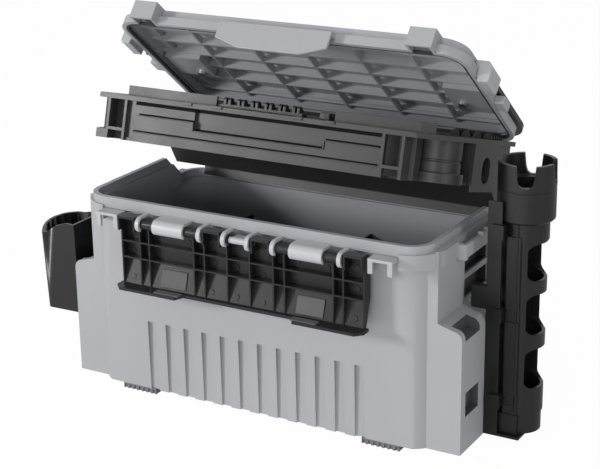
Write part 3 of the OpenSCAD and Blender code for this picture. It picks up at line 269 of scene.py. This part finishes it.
TUB_PLASTIC = tub_plastic()
GREY_PLASTIC = moulded_plastic("grey_plastic", SHELL_LOW, SHELL_HIGH, 0.42, 0.52)
GREY_TRIM = moulded_plastic("grey_trim", TRIM_LOW, TRIM_HIGH, 0.35, 0.45)
BLACK_PLASTIC = moulded_plastic("black_plastic", (0.005, 0.005, 0.005), (0.011, 0.011, 0.0115), 0.26, 0.4,
                                shine=0.32)
TRAY_PLASTIC = moulded_plastic("tray_plastic", (0.02, 0.02, 0.0205), (0.036, 0.036, 0.0365), 0.3, 0.46,
                               shine=0.3)
LATCH_PLASTIC = moulded_plastic("latch_plastic", (0.009, 0.009, 0.009), (0.018, 0.018, 0.019), 0.22, 0.4,
                                grain=1.3, drift=26.0, shine=0.24)
PAD_FOAM = moulded_plastic("pad_foam", (0.055, 0.055, 0.056), (0.075, 0.075, 0.076), 0.62, 0.75,
                           grain=1.4, drift=60.0)
FOOT_RUBBER = moulded_plastic("foot_rubber", (0.10, 0.10, 0.105), (0.14, 0.14, 0.145), 0.6, 0.75, grain=1.6)
RUBBER = moulded_plastic("rubber", (0.02, 0.02, 0.02), (0.03, 0.03, 0.03), 0.7, 0.85, grain=1.6)
# Near-black for the painted shadow strips on the tray's front
PAINTED_SHADOW_BLACK = moulded_plastic("painted_shadow_black", (0.002, 0.002, 0.002), (0.004, 0.004, 0.004), 0.7, 0.85, shine=0.1)
STEEL = steel("steel")

FINISHES = {
    TUB_PLASTIC: ["tub"],
    GREY_PLASTIC: ["lid_shell", "lid_catch_tab"],
    GREY_TRIM: ["front_belt_loops", "left_side_rail", "right_side_rail", "lid_side_clips", "handle_hubs"],
    BLACK_PLASTIC: ["left_divider", "right_divider", "hook_comb", "rig_rolls", "deck_clip", "handle_frame",
                    "handle_grip", "tube_snaps", "pocket_hook", "rod_tube", "rod_crown",
                    "pocket_cup", "stand_bracket"],
    LATCH_PLASTIC: ["latch_plate"],
    PAD_FOAM: ["latch_pads", "catch_pads"],
    TRAY_PLASTIC: ["tray_case", "tray_deck", "tray_end_plate", "cup_holder"],
    FOOT_RUBBER: ["rubber_feet"],
    RUBBER: ["lid_seal"],
    STEEL: ["latch_pin", "tray_hinge_pin", "lid_hinge_pin", "lid_screws", "handle_pins"],
}
finish_of = {name: material for material, names in FINISHES.items() for name in names}
for name, material in finish_of.items():
    data = nodes[name].data
    data.materials.clear()
    data.materials.append(material)

body_of = {name: body for body, names in frame["record"]["behaviour"]["bodies"].items() for name in names}

# The tray stands open about its hinge at the back of the tub
TRAY_TURN = math.radians(15.8)
TRAY_HINGE = Vector((0, 110.9, 187.8)) * MM
TRAY_PLACE = (Matrix.Translation(TRAY_HINGE) @ Matrix.Rotation(-TRAY_TURN, 4, "X")
              @ Matrix.Translation(-TRAY_HINGE))

WELD_DISTANCE, FLAT_ANGLE = 0.002 * MM, math.radians(0.5)
# Edges that turn more than this, in degrees, stay sharp on the shells and on the small trim
SHELL_SHARP, TRIM_SHARP = 38.0, 60.0
FACE_WEIGHT = 90


def merged_copy(name):
    """A node's mesh as a bmesh of whole flat faces."""
    bm = bmesh.new()
    bm.from_mesh(nodes[name].data)
    bmesh.ops.remove_doubles(bm, verts=bm.verts, dist=WELD_DISTANCE)
    bmesh.ops.dissolve_limit(bm, angle_limit=FLAT_ANGLE, verts=bm.verts, edges=bm.edges, delimit={"NORMAL"})
    return bm


def soften(bm, edges, width, segments):
    """Rounds the edges with a bevel."""
    if edges:
        bmesh.ops.bevel(bm, geom=edges, offset=width, offset_type="OFFSET", segments=segments,
                        profile=0.5, affect="EDGES", clamp_overlap=True, material=-1)


def finished(bm, name, body, material, sharp=TRIM_SHARP):
    """A finished piece: smooth shading that keeps its sharp edges and its flat faces flat."""
    mesh = bpy.data.meshes.new(name)
    bm.to_mesh(mesh)
    bm.free()
    for polygon in mesh.polygons:
        polygon.use_smooth = True
    mesh.set_sharp_from_angle(angle=math.radians(sharp))
    mesh.materials.append(material)
    piece = bpy.data.objects.new(name, mesh)
    bpy.context.scene.collection.objects.link(piece)
    shade = piece.modifiers.new("shade", "WEIGHTED_NORMAL")
    shade.keep_sharp = True
    shade.weight = FACE_WEIGHT
    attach(piece, body)
    return piece


ALONG_AXIS = 0.9


def edges_over(bm, angle):
    return [e for e in bm.edges if len(e.link_faces) == 2 and e.calc_face_angle(0.0) > math.radians(angle)]


def edges_within(bm, low, high, least, most, axis=None):
    """Edges with their middles in a box of millimetres, whose faces turn between two angles; axis is
    the one along which they run."""
    low, high = Vector(low) * MM, Vector(high) * MM
    chosen = []
    for edge in bm.edges:
        if len(edge.link_faces) != 2 or not least < math.degrees(edge.calc_face_angle(0.0)) < most:
            continue
        a, b = (v.co for v in edge.verts)
        middle = (a + b) / 2
        inside = all(low[i] <= middle[i] <= high[i] for i in range(3))
        if inside and (axis is None or abs((b - a).normalized()[axis]) > ALONG_AXIS):
            chosen.append(edge)
    return chosen


SOFT_ANGLE, SOFT_SEGMENTS = 30.0, 2


def dressed(node, width, shape=None):
    """A node with softened edges, in the node's own place; shape rounds its main forms first."""
    bm = merged_copy(node)
    if shape:
        shape(bm)
    soften(bm, edges_over(bm, SOFT_ANGLE), width * MM, SOFT_SEGMENTS)
    piece = finished(bm, node + "_finished", body_of[node], finish_of[node], SHELL_SHARP)
    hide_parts(node)


# The front's grooves and the pocket's corners: the box that holds their edges, the least and the most
# that their faces turn, and how round they are
GROOVE_LOW, GROOVE_HIGH, GROOVE_TURN, GROOVE_ROUND = (-125, -91, -1), (125, -86, 80), (50, 130), 1.2
POCKET_LOW, POCKET_HIGH, POCKET_TURN, POCKET_ROUND = (-300, -120, 40), (-218, 40, 170), (9, 60), 5.0
ROUND_SEGMENTS = 3
UPWARD = 2


def round_grooves(bm):
    """The moulded grooves and shoulders of the front have wide soft edges."""
    soften(bm, edges_within(bm, GROOVE_LOW, GROOVE_HIGH, *GROOVE_TURN), GROOVE_ROUND * MM, ROUND_SEGMENTS)


def round_pocket(bm):
    """The side pocket has round upright corners."""
    corners = edges_within(bm, POCKET_LOW, POCKET_HIGH, *POCKET_TURN, UPWARD)
    soften(bm, corners, POCKET_ROUND * MM, ROUND_SEGMENTS)


MARK_RADIUS, MARK_HEIGHT, MARK_TAPER, MARK_SEGMENTS = 3.3 * MM, 1.2 * MM, 0.86, 20


def add_mark(bm, place, normal):
    """A low round mark that narrows a little upwards, standing on a surface."""
    made = bmesh.ops.create_cone(bm, cap_ends=True, segments=MARK_SEGMENTS, radius1=MARK_RADIUS,
                                 radius2=MARK_RADIUS * MARK_TAPER, depth=MARK_HEIGHT)["verts"]
    turn = Vector((0, 0, 1)).rotation_difference(Vector(normal)).to_matrix().to_4x4()
    bmesh.ops.transform(bm, matrix=Matrix.Translation(place) @ turn, verts=made)


# Round mould marks on the latch: across, and height above the pivot
LATCH_MARKS = [(-32.0, -6.0), (-126.1, -31.8), (-123.2, -56.6), (-31.6, -30.8), (-32.0, -57.3), (-6.9, -29.7),
               (-3.8, -57.4), (21.8, -32.9), (25.1, -58.2), (27.0, -8.0), (91.6, -14.2), (122.5, -9.0),
               (122.5, -29.1), (122.5, -56.3), (-92.0, -13.0), (-122.5, -9.0), (60.0, -14.0), (-60.0, -14.0)]
LATCH_PIVOT = Vector((0, -111.5, 185.6)) * MM

# The latch's face is flat down to its bend, and slants forward below it
LATCH_FACE, LATCH_BEND, LATCH_SLANT = 8.2, -36.3, 27.1
FLAT_NORMAL, SLANT_NORMAL = (0, -1, 0), (0, -0.957, 0.29)


def add_latch_marks():
    bm = bmesh.new()
    for across, above in LATCH_MARKS:
        slant_share = max(0.0, (LATCH_BEND - above) / LATCH_SLANT)
        place = LATCH_PIVOT + Vector((across, LATCH_FACE * (1 - slant_share), above)) * MM
        add_mark(bm, place, SLANT_NORMAL if slant_share else FLAT_NORMAL)
    finished(bm, "latch_marks", "latch", LATCH_PLASTIC)


# Thin beads along the ledges of the tray's front, and the small catches on the deck's front edge, all
# in millimetres about the closed tray: low and high x, low and high z
TRAY_BEADS = [(-125, -61.4, 228.5, 229.6), (-62.6, -61.4, 220.5, 229.6), (-62.6, 80, 220.5, 221.6),
              (78.8, 80, 220.5, 229.6), (78.8, 135.5, 228.5, 229.6), (-130, 134.5, 212.2, 213.3)]
BEAD_FRONT, BEAD_BACK = -106.4, -103.4
DECK_CATCHES = [(-72.5, -64), (-40, -30.5), (46.5, 55.7), (80.4, 89.4)]
CATCH_FRONT, CATCH_BACK, CATCH_LOW, CATCH_HIGH = -109.2, -107.0, 244.6, 247.5
BEAD_ROUND, BEAD_SEGMENTS = 0.3 * MM, 2

# Painted shadow: near-black strips under the deck's edge and above the beads, where shade falls: low and high
# x, low and high z, front
TRAY_PAINTED_SHADOWS = [(-130, -62, 238.8, 242.3, -104.3), (-61.4, 79.2, 238.8, 242.3, -101.0),
             (80, 135.5, 238.8, 242.3, -104.3), (-125, -62, 229.5, 231.1, -104.2),
             (-61.4, 79.2, 221.5, 223.3, -100.8), (80, 135.5, 229.5, 231.1, -104.2),
             (-130, 134.5, 213.2, 214.6, -104.3)]
PAINTED_SHADOW_THICKNESS = 0.8


def add_bar(bm, low, high):
    """A straight bar between two corners given in millimetres."""
    low, high = Vector(low) * MM, Vector(high) * MM
    made = bmesh.ops.create_cube(bm, size=1.0)["verts"]
    bmesh.ops.scale(bm, vec=high - low, verts=made)
    bmesh.ops.translate(bm, vec=(low + high) / 2, verts=made)


def add_tray_beads():
    bm = bmesh.new()
    for x_low, x_high, z_low, z_high in TRAY_BEADS:
        add_bar(bm, (x_low, BEAD_FRONT, z_low), (x_high, BEAD_BACK, z_high))
    for x_low, x_high in DECK_CATCHES:
        add_bar(bm, (x_low, CATCH_FRONT, CATCH_LOW), (x_high, CATCH_BACK, CATCH_HIGH))
    soften(bm, list(bm.edges), BEAD_ROUND, BEAD_SEGMENTS)
    bmesh.ops.transform(bm, matrix=TRAY_PLACE, verts=bm.verts)
    finished(bm, "tray_beads", "tray", TRAY_PLASTIC)


# Painted shadow: near-black strips laid on the tray's front under its ledges
def add_tray_painted_shadows():
    bm = bmesh.new()
    for x_low, x_high, z_low, z_high, front in TRAY_PAINTED_SHADOWS:
        add_bar(bm, (x_low, front, z_low), (x_high, front + PAINTED_SHADOW_THICKNESS, z_high))
    bmesh.ops.transform(bm, matrix=TRAY_PLACE, verts=bm.verts)
    finished(bm, "tray_painted_shadows", "tray", PAINTED_SHADOW_BLACK)


# Raised panels, ledges and the mould seam on the flat front of the rod tube: low and high x, low and
# high z, front
TUBE_TRIMS = [(234.3, 247.6, 130.4, 199.4, -24.4), (234.3, 247.6, 44.0, 116.2, -24.4),
              (234.3, 243.6, 217.0, 218.2, -24.2), (234.3, 243.6, 32.0, 33.2, -24.2),
              (234.2, 247.9, 198.8, 200.2, -24.9), (234.2, 247.9, 129.8, 131.2, -24.9),
              (234.2, 247.9, 115.6, 117.0, -24.9), (234.2, 247.9, 43.2, 44.6, -24.9),
              (243.9, 245.1, 27.0, 236.0, -25.1)]
TUBE_FLAT = -23.2
TRIM_ROUND, TRIM_SEGMENTS = 0.25 * MM, 2


def add_tube_trims():
    bm = bmesh.new()
    for x_low, x_high, z_low, z_high, front in TUBE_TRIMS:
        add_bar(bm, (x_low, front, z_low), (x_high, TUBE_FLAT, z_high))
    soften(bm, list(bm.edges), TRIM_ROUND, TRIM_SEGMENTS)
    finished(bm, "tube_trims", "rod_stand", BLACK_PLASTIC)


# How wide each node's softened edges are, in millimetres
SOFT_EDGES = {
    "tub": 0.5, "lid_shell": 0.6, "tray_case": 0.4, "tray_deck": 0.5, "tray_end_plate": 0.6,
    "cup_holder": 0.5, "latch_plate": 0.3, "rod_crown": 0.8, "rod_tube": 0.5, "pocket_cup": 0.7,
    "handle_hubs": 1.6, "front_belt_loops": 0.5, "left_side_rail": 0.5, "right_side_rail": 0.5,
    "lid_catch_tab": 0.6, "handle_frame": 0.8, "rubber_feet": 0.4, "left_divider": 0.5,
    "right_divider": 0.5, "stand_bracket": 0.4, "tube_snaps": 0.4, "pocket_hook": 0.6, "deck_clip": 0.6,
    "hook_comb": 0.5, "lid_side_clips": 0.4, "latch_pads": 0.2, "catch_pads": 0.2,
}
SHAPES = {"pocket_cup": round_pocket, "tub": round_grooves}
for node, width in SOFT_EDGES.items():
    dressed(node, width, SHAPES.get(node))
add_latch_marks()
add_tray_beads()
add_tray_painted_shadows()
add_tube_trims()


# The world's light on the object, and the strength of the floor's own light
AMBIENT, SWEEP = 0.28, 1.3
# How much of the floor the camera sees as plain white, and how much of it lights the object by itself
SEEN_SHARE, LIT_SHARE = 0.975, 0.5
FLOOR_SIZE, FLOOR_GAP = 6.0, 0.2 * MM
FLOOR_COLOUR, FLOOR_ROUGHNESS = (0.86, 0.86, 0.86), 0.6


def add_stage():
    """A pale floor that looks white, keeps a light shadow and lights the undersides, in a white world."""
    bm = bmesh.new()
    bmesh.ops.create_grid(bm, x_segments=1, y_segments=1, size=FLOOR_SIZE)
    mesh = bpy.data.meshes.new("floor")
    bm.to_mesh(mesh)
    bm.free()
    floor = bpy.data.objects.new("floor", mesh)
    floor.location.z = cad_box[0][2] - FLOOR_GAP
    bpy.context.scene.collection.objects.link(floor)
    material = bpy.data.materials.new("floor")
    material.use_nodes = True
    tree = material.node_tree
    shader = tree.nodes["Principled BSDF"]
    shader.inputs["Base Color"].default_value = (*FLOOR_COLOUR, 1)
    shader.inputs["Roughness"].default_value = FLOOR_ROUGHNESS
    # The camera sees the floor as mostly white, with a light contact shadow
    glow = tree.nodes.new("ShaderNodeEmission")
    mix = tree.nodes.new("ShaderNodeMixShader")
    ray = tree.nodes.new("ShaderNodeLightPath")
    tree.links.new((Val(tree, ray.outputs["Is Camera Ray"]) * SEEN_SHARE).socket, mix.inputs["Fac"])
    tree.links.new(shader.outputs["BSDF"], mix.inputs[1])
    tree.links.new(glow.outputs["Emission"], mix.inputs[2])
    # Like a lit sweep, it also lights the undersides
    sweep = tree.nodes.new("ShaderNodeEmission")
    sweep.inputs["Strength"].default_value = SWEEP
    lit = tree.nodes.new("ShaderNodeMixShader")
    tree.links.new((Val(tree, ray.outputs["Is Diffuse Ray"]) * LIT_SHARE).socket, lit.inputs["Fac"])
    tree.links.new(mix.outputs["Shader"], lit.inputs[1])
    tree.links.new(sweep.outputs["Emission"], lit.inputs[2])
    tree.links.new(lit.outputs["Shader"], tree.nodes["Material Output"].inputs["Surface"])
    mesh.materials.append(material)
    world = bpy.data.worlds.new("world")
    bpy.context.scene.world = world
    world.use_nodes = True
    tree = world.node_tree
    background = tree.nodes["Background"]
    background.inputs["Color"].default_value = (1, 1, 1, 1)
    path = tree.nodes.new("ShaderNodeLightPath")
    seen = Val(tree, path.outputs["Is Camera Ray"]).most(Val(tree, path.outputs["Is Glossy Ray"])).most(
        Val(tree, path.outputs["Is Transmission Ray"]))
    tree.links.new((AMBIENT + seen * (1 - AMBIENT)).socket, background.inputs["Strength"])


def add_lamp(name, place, target, size, watts):
    """A rectangular lamp that faces its target."""
    data = bpy.data.lights.new(name, "AREA")
    data.shape = "RECTANGLE"
    data.size, data.size_y = size
    data.energy = watts
    lamp = bpy.data.objects.new(name, data)
    lamp.location = place
    lamp.rotation_euler = (Vector(target) - Vector(place)).to_track_quat("-Z", "Y").to_euler()
    bpy.context.scene.collection.objects.link(lamp)


add_camera()
add_stage()
# Each lamp's name, place, target, size and watts
add_lamp("key", (-1.5, -1.6, 0.75), (0, 0, 0.2), (0.4, 0.4), 32)
add_lamp("fill", (0.7, -1.9, 0.6), (0, 0, 0.3), (0.8, 0.4), 9)
add_lamp("side", (1.9, -0.5, 0.9), (0, 0, 0.15), (0.4, 1.4), 9)
add_lamp("top", (-0.1, -0.7, 2.0), (0, 0, 0.2), (0.8, 0.8), 8)
add_lamp("low", (-0.1, -1.3, 0.08), (0, 0.05, 0.4), (1.2, 0.1), 2)

bpy.context.scene.view_settings.view_transform = "Standard"
